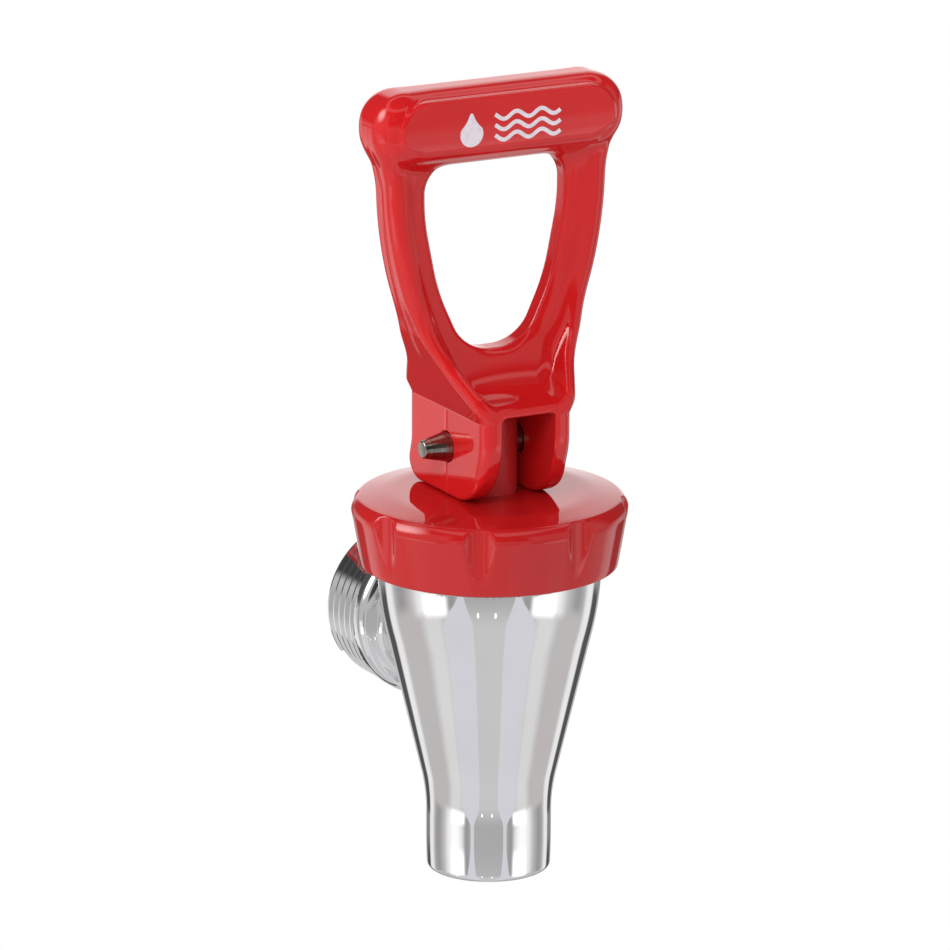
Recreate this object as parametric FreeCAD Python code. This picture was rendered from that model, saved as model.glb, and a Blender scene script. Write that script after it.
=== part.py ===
import FreeCAD, Part
import math
import os

# Self-closing beverage spigot. Millimetres, +Z up, front towards -Y.
# The origin is on the shank's axis, in the middle of its thread; +Y runs along the shank into the vessel.
# The pieces are drawn about the spigot's own upright axis, with height 0 at the bonnet's lower rim,
# and are moved to the shank's frame when they are written.

# Shank, neck and inlet
thread_radius = 12.7
thread_length = 9.6
thread_chamfer = 0.5
inlet_radius = 8.2
port_radius = 7.2
shank_reach = 25.0
rim_above_shank = 13.2
neck_end_radius = 10.4
neck_root_radius = 8.7
neck_flare = 1.6
neck_round = 1.2
port_stub = 0.4

# Body: a turned taper that narrows into the spout
skin_radius = 17.2
skin_top_depth = 1.0
taper_head_depth = 5.3
taper_foot_depth = 36.4
spout_radius = 9.68
spout_arc = 15.0
outlet_depth = 48.75
outlet_round = 1.6
body_wall = 2.6
spout_wall = 2.28
lip_wall = 2.35
lip_height = 6.2
seat_depth = 29.6
seat_step = 1.8
seat_land = 2.4

# Bonnet: screwed down over the body's lip
thread_step = 0.6
thread_gap = 0.05
skirt_wall = 2.3
skirt_gap = 0.25
skirt_depth = 0.8
grip_flare = 1.65
bonnet_shoulder = 2.4
crown_round = 1.2
crown_drop = 0.85
crown_width = 4.8
crown_overhang = 0.55
crown_curve = 14.0
bonnet_top_wall = 2.6
notch_count = 8
notch_angle_deg = 12.2
notch_radius = 3.35
notch_rise = 0.35

# Friction ring, and the seat cup whose flange it holds down
ring_thickness = 1.0
ring_width = 5.5
flange_gap = 0.5
flange_thickness = 1.8
sleeve_space = 1.9
sleeve_wall = 1.7
nose_overlap = 2.3
dome_margin = 0.7
seat_gap = 0.1
cup_gap = 0.2
cup_round = 3.0

# Stem
stem_radius = 4.2
stem_above_pin = 4.9
stem_top_round = 1.4
shoulder_width = 2.4
shoulder_thickness = 1.6
shoulder_depth = 8.0
tail_step = 1.0
button_step = 1.4
button_above_seat = 8.1
button_thickness = 2.5
stem_gap = 0.08

# Spring, and the washer that it pushes on
washer_thickness = 1.0
washer_margin = 0.85
wire_radius = 0.65
coil_gap = 2.05
coil_turns = 5.5
rest_gap = 0.1

# Lever: a fork with a cam heel, two arms round a finger window, and a bar
pin_above_bonnet = 7.7
pin_radius = 2.35
pin_gap = 0.05
pin_taper = 1.0
pin_tail_length = 4.2
ear_gap = 0.3
ear_thickness = 3.15
fork_half_depth = 12.6
fork_back_round = 4.0
slot_top_above_pin = 6.7
slot_round = 0.8
flare_above_pin = 6.1
# How far the arms' outer edge stands out from the fork, at heights above the pin
arm_swell = [
    (1.25, 8.0), (2.25, 10.8), (4.15, 14.3), (5.95, 17.4), (7.95, 23.0), (10.35, 33.2), (10.95, 38.5),
]
arm_top_swell = 11.05
arm_width = 5.8
arm_low_half_depth = 3.9
arm_high_half_depth = 3.2
ramp_above_slot = 1.9
ramp_top_above_pin = 17.3
ramp_edge_round = 1.6
ramp_foot_round = 4.0
lever_edge_round = 2.0
bead_width = 2.5
recess_depth = 0.8
recess_under_bar = 2.4
recess_end_round = 2.0
window_lip = 0.9
window_low_above_pin = 13.9
window_low_half_width = 6.55
window_low_round = 7.0
window_mid_above_pin = 24.9
window_mid_half_width = 10.7
window_side_above_pin = 36.2
window_side_lean = 0.05
window_side_round = 30.0
window_high_round = 4.0
window_under_bar = 0.1
bar_overhang = 2.6
bar_half_height = 5.9
bar_half_depth = 6.0
bar_end_round = 5.7
bar_edge_round = 3.9
bar_above_pin = 50.55

# Small roundings and chamfers
edge_break = 0.3
soft_edge = 0.8

# Worked out from the sizes above
thread_start = shank_reach - thread_length / 2
thread_end = shank_reach + thread_length / 2
port_reach = skin_radius + port_stub
taper_slope = (skin_radius - spout_radius) / (taper_foot_depth - taper_head_depth)
taper_angle = math.atan(taper_slope)
outlet_radius = spout_radius - spout_wall
seat_radius = outlet_radius - seat_step
lip_radius = skin_radius - thread_step
chamber_radius = lip_radius - lip_wall
flange_radius = lip_radius - flange_gap
flange_top = lip_height + flange_thickness
ceiling_height = flange_top + ring_thickness
bonnet_height = ceiling_height + bonnet_top_wall
rim_radius = skin_radius + skirt_gap + skirt_wall
grip_radius = rim_radius + grip_flare
shoulder_radius = stem_radius + shoulder_width
shoulder_low = -shoulder_depth - shoulder_thickness
tail_radius = stem_radius - tail_step
button_radius = tail_radius + button_step
button_low = button_above_seat - seat_depth
button_top = button_low + button_thickness
coil_radius = stem_radius + coil_gap + wire_radius
washer_radius = coil_radius + wire_radius + washer_margin
sleeve_top_radius = chamber_radius - sleeve_space
sleeve_low_radius = washer_radius + 2 * cup_gap + sleeve_wall
nose_radius = seat_radius + nose_overlap
dome_radius = nose_radius + dome_margin
pin_height = bonnet_height + pin_above_bonnet
heel_height = bonnet_height + rest_gap
cam_base = pin_height - heel_height
cam_rate = (fork_half_depth - cam_base) / (math.pi / 2)
slot_half_width = stem_radius + ear_gap
fork_half_width = slot_half_width + ear_thickness
arm_top_half_width = fork_half_width + arm_top_swell
window_high_half_width = arm_top_half_width - arm_width
ramp_start_above_pin = slot_top_above_pin + ramp_above_slot
bar_half_length = arm_top_half_width + bar_overhang
bar_height = pin_height + bar_above_pin
bar_foot = bar_height - bar_half_height


def at(plane, a, b):
    # A point of an outline: a across and b up, on the front plane or the side plane.
    if plane == "front":
        return FreeCAD.Vector(a, 0, b)
    return FreeCAD.Vector(0, a, b)


def outline_edges(corners, plane="front", closed=True):
    # Lines through corners (across, up, rounding), with a tangent arc at each rounded corner.
    count = len(corners)
    starts = []
    ends = []
    arcs = []
    for index, (a, b, radius) in enumerate(corners):
        here = at(plane, a, b)
        back = (at(plane, *corners[index - 1][:2]) - here).normalize()
        ahead = (at(plane, *corners[(index + 1) % count][:2]) - here).normalize()
        if radius == 0:
            starts.append(here)
            ends.append(here)
            arcs.append(None)
            continue
        half = back.getAngle(ahead) / 2
        run = radius / math.tan(half)
        inward = (back + ahead).normalize()
        start = here + back * run
        end = here + ahead * run
        middle = here + inward * (radius / math.sin(half) - radius)
        starts.append(start)
        ends.append(end)
        arcs.append(Part.Arc(start, middle, end).toShape())
    edges = []
    for index in range(count):
        if arcs[index]:
            edges.append(arcs[index])
        if index == count - 1 and not closed:
            break
        start = ends[index]
        end = starts[(index + 1) % count]
        if start.distanceToPoint(end) > 1e-6:
            edges.append(Part.LineSegment(start, end).toShape())
    return edges


def rounded(corners, plane="front"):
    return Part.Face(Part.Wire(outline_edges(corners, plane)))


def turned(corners):
    # Solid of revolution about the upright axis from corners (radius, height, rounding).
    return rounded(corners).revolve(FreeCAD.Vector(0, 0, 0), FreeCAD.Vector(0, 0, 1), 360)


def upright(radius, low, high, x=0.0, y=0.0):
    return Part.makeCylinder(radius, high - low, FreeCAD.Vector(x, y, low), FreeCAD.Vector(0, 0, 1))


def crossways(radius, left, right, height):
    # Cylinder along X at a height on the spigot's axis.
    return Part.makeCylinder(radius, right - left, FreeCAD.Vector(left, 0, height), FreeCAD.Vector(1, 0, 0))


def along_shank(radius, near, far):
    # Cylinder on the shank's axis, between two distances from the spigot's axis.
    return Part.makeCylinder(
        radius, far - near, FreeCAD.Vector(0, near, -rim_above_shank), FreeCAD.Vector(0, 1, 0)
    )


def mirrored(half):
    # Closes a right-hand half outline, listed from bottom to top, with its left-hand copy.
    return half + [(-across, up, radius) for across, up, radius in reversed(half)]


def skin_at(depth):
    # Outside radius of the body's straight taper at a depth under the bonnet's rim.
    return spout_radius + (taper_foot_depth - depth) * taper_slope


def faucet_body():
    # One casting: threaded lip, tapered body, spout, side neck and threaded shank.
    skin_arc = (taper_head_depth - skin_top_depth) / math.tan(taper_angle / 2)
    outside = turned([
        (0, lip_height, 0),
        (lip_radius - thread_gap, lip_height, edge_break),
        (lip_radius - thread_gap, -skin_top_depth / 2, 0),
        (skin_radius, -skin_top_depth / 2, edge_break),
        (skin_radius, -taper_head_depth, skin_arc),
        (spout_radius, -taper_foot_depth, spout_arc),
        (spout_radius, -outlet_depth, outlet_round),
        (0, -outlet_depth, 0),
    ])
    side_arm = rounded([
        (0, 0, 0),
        (0, neck_root_radius, 0),
        (chamber_radius / 2, neck_root_radius, 0),
        (thread_start - thread_chamfer - neck_flare, neck_end_radius, neck_round),
        (thread_start - thread_chamfer, thread_radius - thread_chamfer, edge_break),
        (thread_start, thread_radius, 0),
        (thread_end - thread_chamfer, thread_radius, 0),
        (thread_end, thread_radius - thread_chamfer, 0),
        (thread_end, 0, 0),
    ], "side").revolve(FreeCAD.Vector(0, 0, 0), FreeCAD.Vector(0, 1, 0), 360)
    side_arm.translate(FreeCAD.Vector(0, 0, -rim_above_shank))
    chamber_foot = skin_at(seat_depth) - body_wall
    chamber_head_depth = taper_foot_depth - (chamber_radius + body_wall - spout_radius) / taper_slope
    chamber = turned([
        (0, lip_height + 1, 0),
        (chamber_radius, lip_height + 1, 0),
        (chamber_radius, -chamber_head_depth, cup_round),
        (chamber_foot, -seat_depth, soft_edge),
        (seat_radius, -seat_depth, edge_break),
        (seat_radius, -seat_depth - seat_land, 0),
        (outlet_radius, -seat_depth - seat_land - seat_step, 0),
        (outlet_radius, -outlet_depth - 1, 0),
        (0, -outlet_depth - 1, 0),
    ])
    inlet = along_shank(inlet_radius, port_reach, thread_end + 1)
    port = along_shank(port_radius, 0, port_reach)
    return outside.fuse(side_arm).cut([chamber, port, inlet]).removeSplitter()


def bonnet():
    # Moulded cap with drafted sides, finger notches, a skirt bore and the stem's hole.
    hole_radius = stem_radius + stem_gap
    skirt_radius = skin_radius + skirt_gap
    pocket_radius = lip_radius + skirt_gap
    shell = turned([
        (lip_radius, skirt_depth, 0),
        (skirt_radius, skirt_depth, 0),
        (skirt_radius, 0, edge_break),
        (rim_radius, 0, edge_break),
        (grip_radius, bonnet_height - bonnet_shoulder, bonnet_shoulder),
        (rim_radius + crown_overhang, bonnet_height - crown_drop, crown_round),
        (rim_radius + crown_overhang - crown_width, bonnet_height, crown_curve),
        (hole_radius, bonnet_height, edge_break),
        (hole_radius, ceiling_height, edge_break),
        (pocket_radius, ceiling_height, edge_break),
        (pocket_radius, lip_height, 0),
        (lip_radius, lip_height, 0),
    ])
    notch_reach = rim_radius + notch_rise + notch_radius
    notches = []
    for index in range(notch_count):
        turn = math.radians(notch_angle_deg + index * 360 / notch_count)
        notches.append(upright(
            notch_radius, -1, bonnet_height + 1, notch_reach * math.sin(turn), -notch_reach * math.cos(turn)
        ))
    return shell.cut(notches)


def friction_ring():
    # Flat slip ring that lets the bonnet turn on the cup's flange.
    inner_radius = flange_radius - ring_width
    return upright(flange_radius, flange_top, ceiling_height).cut(
        upright(inner_radius, flange_top, ceiling_height))


def seat_cup():
    # Elastic cup: clamped flange, thin sleeve, and a domed nose that grips the stem's button.
    waist = shoulder_low - cup_gap
    dome_centre = -seat_depth + math.sqrt((dome_radius + seat_gap) ** 2 - seat_radius ** 2)
    dome_side = dome_centre - math.sqrt(dome_radius ** 2 - nose_radius ** 2)
    blank = turned([
        (0, flange_top, 0),
        (flange_radius, flange_top, 0),
        (flange_radius, lip_height, 0),
        (sleeve_top_radius, lip_height, soft_edge),
        (sleeve_low_radius, waist, cup_round),
        (nose_radius, button_top, cup_round),
        (nose_radius, dome_side, 0),
        (0, dome_side, 0),
    ])
    ball = Part.makeSphere(dome_radius, FreeCAD.Vector(0, 0, dome_centre))
    dome = ball.common(upright(nose_radius, dome_centre - dome_radius, dome_side))
    hollow = turned([
        (0, flange_top + 1, 0),
        (sleeve_top_radius - sleeve_wall, flange_top + 1, 0),
        (sleeve_top_radius - sleeve_wall, lip_height, cup_round),
        (sleeve_low_radius - sleeve_wall, waist, soft_edge),
        (tail_radius + cup_gap, waist, edge_break),
        (tail_radius + cup_gap, button_top + cup_gap, 0),
        (button_radius + cup_gap, button_top + cup_gap, 0),
        (button_radius + cup_gap, button_low - cup_gap, soft_edge),
        (0, button_low - cup_gap, 0),
    ])
    return blank.fuse(dome).cut(hollow).removeSplitter()


def stem():
    # Lift rod: domed head with the pin's cross hole, spring shoulder, tail and pull button.
    rod = turned([
        (0, pin_height + stem_above_pin, 0),
        (stem_radius, pin_height + stem_above_pin, stem_top_round),
        (stem_radius, -shoulder_depth, 0),
        (shoulder_radius, -shoulder_depth, edge_break),
        (shoulder_radius, shoulder_low, edge_break),
        (tail_radius, shoulder_low, 0),
        (tail_radius, button_top, 0),
        (button_radius, button_top, edge_break),
        (button_radius, button_low, soft_edge),
        (0, button_low, 0),
    ])
    return rod.cut(crossways(pin_radius + pin_gap, -2 * stem_radius, 2 * stem_radius, pin_height))


def spring_washer():
    low = -shoulder_depth + rest_gap / 2
    high = low + washer_thickness
    return upright(washer_radius, low, high).cut(upright(stem_radius + stem_gap, low, high))


def spring():
    # Round wire wound between the washer and the bonnet's ceiling.
    low = -shoulder_depth + washer_thickness + rest_gap + wire_radius
    rise = ceiling_height - rest_gap / 2 - wire_radius - low
    path = Part.makeHelix(rise / coil_turns, rise, coil_radius)
    wire = Part.Wire(Part.makeCircle(wire_radius, FreeCAD.Vector(coil_radius, 0, 0), FreeCAD.Vector(0, 1, 0)))
    coil = Part.Wire(path.Edges).makePipeShell([wire], True, True)
    coil.translate(FreeCAD.Vector(0, 0, low))
    return coil


def handle_pin():
    # Cross pin, flush at the right ear, with a tapered tail that stands out at the left ear.
    tail = fork_half_width + pin_tail_length
    pin = rounded([
        (-tail, 0, 0),
        (-tail, pin_radius - pin_taper, edge_break),
        (-fork_half_width, pin_radius, 0),
        (fork_half_width, pin_radius, 0),
        (fork_half_width, 0, 0),
    ]).revolve(FreeCAD.Vector(0, 0, 0), FreeCAD.Vector(1, 0, 0), 360)
    pin.translate(FreeCAD.Vector(0, 0, pin_height))
    return pin


def cam_point(angle):
    # Point of the heel that stands on the bonnet when the lever has turned by angle.
    # Its distance below the pin grows in step with the angle, so the stem lifts evenly.
    support = cam_base + cam_rate * angle
    across = support * math.sin(angle) + cam_rate * math.cos(angle)
    below = support * math.cos(angle) - cam_rate * math.sin(angle)
    return FreeCAD.Vector(0, -across, pin_height - below)


def lever_side():
    # Side outline: cam heel at the front, square heel at the back, ramps up to the slim arms.
    steps = 12
    cam = Part.BSplineCurve()
    cam.interpolate([cam_point(math.pi / 2 * step / steps) for step in range(steps + 1)])
    ramp_start = pin_height + ramp_start_above_pin
    ramp_top = pin_height + ramp_top_above_pin
    edges = outline_edges([
        (-fork_half_depth, pin_height + cam_rate, 0),
        (-fork_half_depth, ramp_start, ramp_edge_round),
        (-arm_low_half_depth, ramp_top, ramp_foot_round),
        (-arm_high_half_depth, bar_height, 0),
        (arm_high_half_depth, bar_height, 0),
        (arm_low_half_depth, ramp_top, ramp_foot_round),
        (fork_half_depth, ramp_start, ramp_edge_round),
        (fork_half_depth, heel_height, fork_back_round),
        (-cam_rate, heel_height, 0),
    ], "side", False)
    return Part.Face(Part.Wire(edges + [cam.toShape()]))


def lever_front(inset=0.0):
    # Front outline: upright fork, then a curve that swells out to the arms and runs up into the bar.
    side = fork_half_width - inset
    foot = FreeCAD.Vector(side, 0, heel_height - 1)
    points = [FreeCAD.Vector(side, 0, pin_height + flare_above_pin)]
    for swell, rise in arm_swell:
        points.append(FreeCAD.Vector(side + swell, 0, pin_height + rise))
    points.append(FreeCAD.Vector(side + arm_top_swell, 0, bar_height))
    up = FreeCAD.Vector(0, 0, 1)
    flare = Part.BSplineCurve()
    flare.interpolate(Points=points, InitialTangent=up, FinalTangent=up, Scale=False)
    right = Part.Wire([Part.LineSegment(foot, points[0]).toShape(), flare.toShape()])
    left = right.mirror(FreeCAD.Vector(0, 0, 0), FreeCAD.Vector(1, 0, 0))
    across = []
    for point in (foot, points[-1]):
        across.append(Part.LineSegment(point, FreeCAD.Vector(-point.x, 0, point.z)).toShape())
    return Part.Face(Part.Wire(Part.sortEdges(right.Edges + left.Edges + across)[0]))


def window_front(lip=0.0):
    # Finger window: a deep U under the bar, with rounder corners below than above.
    # The lip is what stands round it on the arms, and runs out to nothing below.
    high_half_width = window_high_half_width + lip
    return rounded(mirrored([
        (window_low_half_width + lip, pin_height + window_low_above_pin, window_low_round),
        (window_mid_half_width + lip, pin_height + window_mid_above_pin, window_side_round),
        (high_half_width - window_side_lean, pin_height + window_side_above_pin, window_side_round),
        (high_half_width, bar_foot - window_under_bar, window_high_round),
    ]))


def lever_bar():
    # Hand bar with round ends and softly turned edges.
    block = slab(rounded(mirrored([
        (bar_half_length, bar_height - bar_half_height, bar_end_round),
        (bar_half_length, bar_height + bar_half_height, bar_end_round),
    ])), bar_half_depth)
    rims = [edge for edge in block.Edges if abs(abs(edge.CenterOfMass.y) - bar_half_depth) < 1e-6]
    return block.makeFillet(bar_edge_round, rims)


def sharp(solid, edge):
    # True where the two faces beside an edge meet at a corner.
    middle = edge.valueAt((edge.FirstParameter + edge.LastParameter) / 2)
    normals = []
    for face in solid.ancestorsOfType(edge, Part.Face):
        normals.append(face.normalAt(*face.Surface.parameter(middle)))
    return len(normals) == 2 and normals[0].getAngle(normals[1]) > 0.3


def slab(face, half_depth):
    # Front outline made solid to the same depth each way.
    solid = face.extrude(FreeCAD.Vector(0, 2 * half_depth, 0))
    solid.translate(FreeCAD.Vector(0, -half_depth, 0))
    return solid


def recess():
    # What is hollowed out of each face between the outer bead and the window's lip:
    # a shallow channel down both arms that runs out over the ramp as a dish.
    wide = 2 * fork_half_depth
    channel = slab(lever_front(bead_width), wide).cut(slab(window_front(window_lip), wide))
    slope = (ramp_top_above_pin - ramp_start_above_pin) / (fork_half_depth - arm_low_half_depth)
    floor_drop = recess_depth * math.hypot(1, slope)
    floor_start = pin_height + ramp_start_above_pin - floor_drop - (wide - fork_half_depth) * slope
    floor_turn = pin_height + ramp_top_above_pin - floor_drop + recess_depth * slope
    channel_top = bar_foot - recess_under_bar
    half = [
        (wide, pin_height - wide, 0),
        (wide, floor_start, 0),
        (arm_low_half_depth - recess_depth, floor_turn, ramp_foot_round),
        (arm_high_half_depth - recess_depth, channel_top, recess_end_round),
        (wide, channel_top + wide / 2, 0),
    ]
    floor = rounded(mirrored(half), "side").extrude(FreeCAD.Vector(2 * bar_half_length, 0, 0))
    floor.translate(FreeCAD.Vector(-bar_half_length, 0, 0))
    return channel.cut(floor)


def handle():
    side = lever_side().extrude(FreeCAD.Vector(2 * bar_half_length, 0, 0))
    side.translate(FreeCAD.Vector(-bar_half_length, 0, 0))
    yoke = slab(lever_front(), 2 * fork_half_depth).common(side).removeSplitter().Solids[0]
    rims = [edge for edge in yoke.Edges if sharp(yoke, edge) and edge.BoundBox.ZMin < bar_foot]
    yoke = yoke.makeFillet(lever_edge_round, rims)
    slot = slab(rounded(mirrored([
        (slot_half_width, pin_height - fork_half_depth, 0),
        (slot_half_width, pin_height + slot_top_above_pin, slot_round),
    ])), 2 * fork_half_depth)
    window = slab(window_front(), 2 * fork_half_depth)
    pin_hole = crossways(pin_radius, -2 * fork_half_width, 2 * fork_half_width, pin_height)
    lever = yoke.cut(recess()).fuse(lever_bar()).cut([slot, window, pin_hole])
    return lever.removeSplitter()


here = "parts"
os.makedirs(here, exist_ok=True)
to_shank = FreeCAD.Vector(0, -shank_reach, rim_above_shank)
pieces = {
    "faucet_body": faucet_body,
    "bonnet": bonnet,
    "friction_ring": friction_ring,
    "seat_cup": seat_cup,
    "stem": stem,
    "spring_washer": spring_washer,
    "spring": spring,
    "handle_pin": handle_pin,
    "handle": handle,
}
for name, build in pieces.items():
    piece = build()
    piece.translate(to_shank)
    piece.exportStep(os.path.join(here, name + ".step"))
    print(name, "solids", len(piece.Solids), "valid", piece.isValid(), "volume", round(piece.Volume, 1))
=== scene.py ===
import math

import bmesh
import bpy
import numpy as np
from mathutils import Matrix, Vector


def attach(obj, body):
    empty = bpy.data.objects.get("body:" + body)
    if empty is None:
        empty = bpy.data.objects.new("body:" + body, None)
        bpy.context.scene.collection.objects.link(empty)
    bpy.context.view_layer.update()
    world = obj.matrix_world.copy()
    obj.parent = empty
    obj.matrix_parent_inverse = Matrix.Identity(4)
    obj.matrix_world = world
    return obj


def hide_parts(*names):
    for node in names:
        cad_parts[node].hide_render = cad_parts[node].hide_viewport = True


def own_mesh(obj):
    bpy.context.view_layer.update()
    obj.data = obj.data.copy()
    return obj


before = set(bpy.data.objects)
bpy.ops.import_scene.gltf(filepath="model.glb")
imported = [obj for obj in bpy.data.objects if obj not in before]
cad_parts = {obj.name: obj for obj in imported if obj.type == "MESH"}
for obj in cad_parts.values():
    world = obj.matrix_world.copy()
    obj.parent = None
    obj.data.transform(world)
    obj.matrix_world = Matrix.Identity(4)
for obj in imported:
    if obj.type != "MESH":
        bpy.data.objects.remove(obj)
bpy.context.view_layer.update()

# Shapes are worked out in millimetres about the spigot's own upright axis, with height 0 at the
# bonnet's lower rim. toFrame moves them to the shank's frame and into metres.
mm = 0.001
spoutReach = 25.0
shankDrop = 13.2
pinHeight = 19.3
bonnetTop = 11.6
barHeight = 69.85
axisShift = np.array([0.0, -spoutReach, shankDrop])


def toFrame(points):
    return (np.asarray(points, float) + axisShift) * mm


def newTree(material):
    material.use_nodes = True
    tree = material.node_tree
    tree.nodes.clear()
    return tree


def node(tree, kind, inputs=None, **settings):
    made = tree.nodes.new(kind)
    for key, value in settings.items():
        setattr(made, key, value)
    for key, value in (inputs or {}).items():
        socket = made.inputs[key]
        if isinstance(value, bpy.types.NodeSocket):
            tree.links.new(value, socket)
        else:
            socket.default_value = value
    return made


def maths(tree, operation, *values):
    made = tree.nodes.new("ShaderNodeMath")
    made.operation = operation
    for index, value in enumerate(values):
        if isinstance(value, bpy.types.NodeSocket):
            tree.links.new(value, made.inputs[index])
        else:
            made.inputs[index].default_value = value
    return made.outputs[0]


def plus(tree, a, b):
    return maths(tree, "ADD", a, b)


def minus(tree, a, b):
    return maths(tree, "SUBTRACT", a, b)


def times(tree, a, b):
    return maths(tree, "MULTIPLY", a, b)


def remap(tree, value, fromLow, fromHigh, toLow, toHigh, smooth=True):
    made = node(tree, "ShaderNodeMapRange", {
        "Value": value, "From Min": fromLow, "From Max": fromHigh, "To Min": toLow, "To Max": toHigh,
    }, interpolation_type="SMOOTHSTEP" if smooth else "LINEAR")
    return made.outputs["Result"]


def mixColour(tree, factor, first, second):
    # A colour that is given as one number is a grey.
    made = node(tree, "ShaderNodeMix", {0: factor}, data_type="RGBA")
    for index, value in ((6, first), (7, second)):
        if isinstance(value, bpy.types.NodeSocket):
            tree.links.new(value, made.inputs[index])
        else:
            shade = (value,) * 3 if isinstance(value, float) else value
            made.inputs[index].default_value = (*shade, 1.0)
    return made.outputs[2]


def objectNoise(tree, scale, detail=2.0, roughness=0.5):
    coordinates = node(tree, "ShaderNodeTexCoord")
    made = node(tree, "ShaderNodeTexNoise", {
        "Vector": coordinates.outputs["Object"], "Scale": scale, "Detail": detail, "Roughness": roughness,
    })
    return made.outputs["Fac"]


def finishMaterial(tree, shader):
    output = node(tree, "ShaderNodeOutputMaterial")
    tree.links.new(shader.outputs[0], output.inputs["Surface"])


def cloudy(tree, scale, detail, low, high, ends=(0.0, 1.0), roughness=0.5):
    # Noise from low to high, spread smoothly over ends.
    return remap(tree, objectNoise(tree, scale, detail, roughness), low, high, *ends)


def twoTone(tree, look, factor):
    return mixColour(tree, factor, look["deepColour"], look["colour"])


def bump(tree, height, strength, depth, under=None):
    inputs = {"Strength": strength, "Distance": depth, "Height": height}
    if under is not None:
        inputs["Normal"] = under
    return node(tree, "ShaderNodeBump", inputs).outputs["Normal"]


def newMaterial(name, dress, look):
    # dress gives the shader's inputs for a look.
    material = bpy.data.materials.new(name)
    tree = newTree(material)
    finishMaterial(tree, node(tree, "ShaderNodeBsdfPrincipled", dress(tree, look)))
    return material


# Each look names its two colours, and the scale and strength of every pattern in it
leverLook = {
    "colour": (0.61, 0.011, 0.0125),
    "deepColour": (0.56, 0.009, 0.0105),
    "cloudScale": 60.0,
    "polishScale": 180.0,
    "roughness": (0.03, 0.07),
    "rippleScale": 140.0,
    "ripple": 0.04,
    "rippleDepth": 0.6 * mm,
    "grain": 0.0,
}
gripLook = {**leverLook, "colour": (0.49, 0.0105, 0.0115), "deepColour": (0.45, 0.009, 0.01)}
stemLook = {
    **leverLook,
    "colour": (0.62, 0.028, 0.030),
    "deepColour": (0.50, 0.018, 0.020),
    "roughness": (0.28, 0.42),
    "grain": 0.35,
    "grainScale": 2600.0,
    "grainDepth": 0.2 * mm,
}


def moldedRed(tree, look):
    normal = bump(tree, objectNoise(tree, look["rippleScale"], 1.0), look["ripple"], look["rippleDepth"])
    if look["grain"]:
        grain = objectNoise(tree, look["grainScale"], 2.0)
        normal = bump(tree, grain, look["grain"], look["grainDepth"], normal)
    return {
        "Base Color": twoTone(tree, look, cloudy(tree, look["cloudScale"], 3.0, 0.35, 0.65)),
        "Roughness": cloudy(tree, look["polishScale"], 4.0, 0.3, 0.7, look["roughness"], 0.6),
        "Normal": normal,
        "IOR": 1.5,
    }


chromeLook = {
    "colour": (0.79, 0.79, 0.80),
    "deepColour": (0.77, 0.765, 0.765),
    "cloudScale": 90.0,
    "polishScale": 400.0,
    "roughness": (0.015, 0.05),
    "rippleScale": 120.0,
    "ripple": 0.008,
    "rippleDepth": 0.6 * mm,
}


def platedChrome(tree, look):
    ripple = objectNoise(tree, look["rippleScale"], 1.0)
    return {
        "Base Color": twoTone(tree, look, cloudy(tree, look["cloudScale"], 2.0, 0.35, 0.65)),
        "Roughness": cloudy(tree, look["polishScale"], 4.0, 0.35, 0.75, look["roughness"], 0.65),
        "Metallic": 1.0,
        "Normal": bump(tree, ripple, look["ripple"], look["rippleDepth"]),
    }


steelLook = {
    "colour": (0.35, 0.315, 0.275),
    "deepColour": (0.24, 0.21, 0.18),
    "lineScale": (2500.0, 120.0, 120.0),
    "lines": 0.12,
    "lineDepth": 0.05 * mm,
    "polishScale": 700.0,
    "roughness": (0.16, 0.28),
}


def turnedSteel(tree, look):
    # Fine lines run round the pin, whose axis is X.
    coordinates = node(tree, "ShaderNodeTexCoord")
    stretched = node(tree, "ShaderNodeMapping", {
        "Vector": coordinates.outputs["Object"], "Scale": look["lineScale"],
    })
    noise = node(tree, "ShaderNodeTexNoise", {"Vector": stretched.outputs[0], "Scale": 1.0, "Detail": 3.0})
    lines = noise.outputs["Fac"]
    return {
        "Base Color": twoTone(tree, look, remap(tree, lines, 0.3, 0.7, 0.0, 1.0)),
        "Roughness": cloudy(tree, look["polishScale"], 3.0, 0.3, 0.7, look["roughness"]),
        "Metallic": 1.0,
        "Normal": bump(tree, lines, look["lines"], look["lineDepth"]),
    }


rubberLook = {
    "colour": (0.72, 0.71, 0.68),
    "deepColour": (0.62, 0.61, 0.57),
    "cloudScale": 220.0,
    "polishScale": 500.0,
    "roughness": (0.37, 0.53),
    "grainScale": 1500.0,
    "grain": 0.15,
    "grainDepth": 0.1 * mm,
}
nylonLook = {
    **rubberLook,
    "colour": (0.80, 0.80, 0.77),
    "deepColour": (0.74, 0.74, 0.70),
    "roughness": (0.30, 0.46),
}


def palePlastic(tree, look):
    return {
        "Base Color": twoTone(tree, look, cloudy(tree, look["cloudScale"], 3.0, 0.35, 0.65)),
        "Roughness": cloudy(tree, look["polishScale"], 2.0, 0.3, 0.7, look["roughness"]),
        "Normal": bump(tree, objectNoise(tree, look["grainScale"], 2.0), look["grain"], look["grainDepth"]),
    }


inkLook = {
    "colour": (0.78, 0.71, 0.77),
    "deepColour": (0.70, 0.62, 0.68),
    "cloudScale": 900.0,
    "polishScale": 1200.0,
    "roughness": (0.22, 0.34),
}


def printedInk(tree, look):
    return {
        "Base Color": twoTone(tree, look, cloudy(tree, look["cloudScale"], 3.0, 0.3, 0.7)),
        "Roughness": cloudy(tree, look["polishScale"], 2.0, 0.3, 0.7, look["roughness"]),
    }


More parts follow.
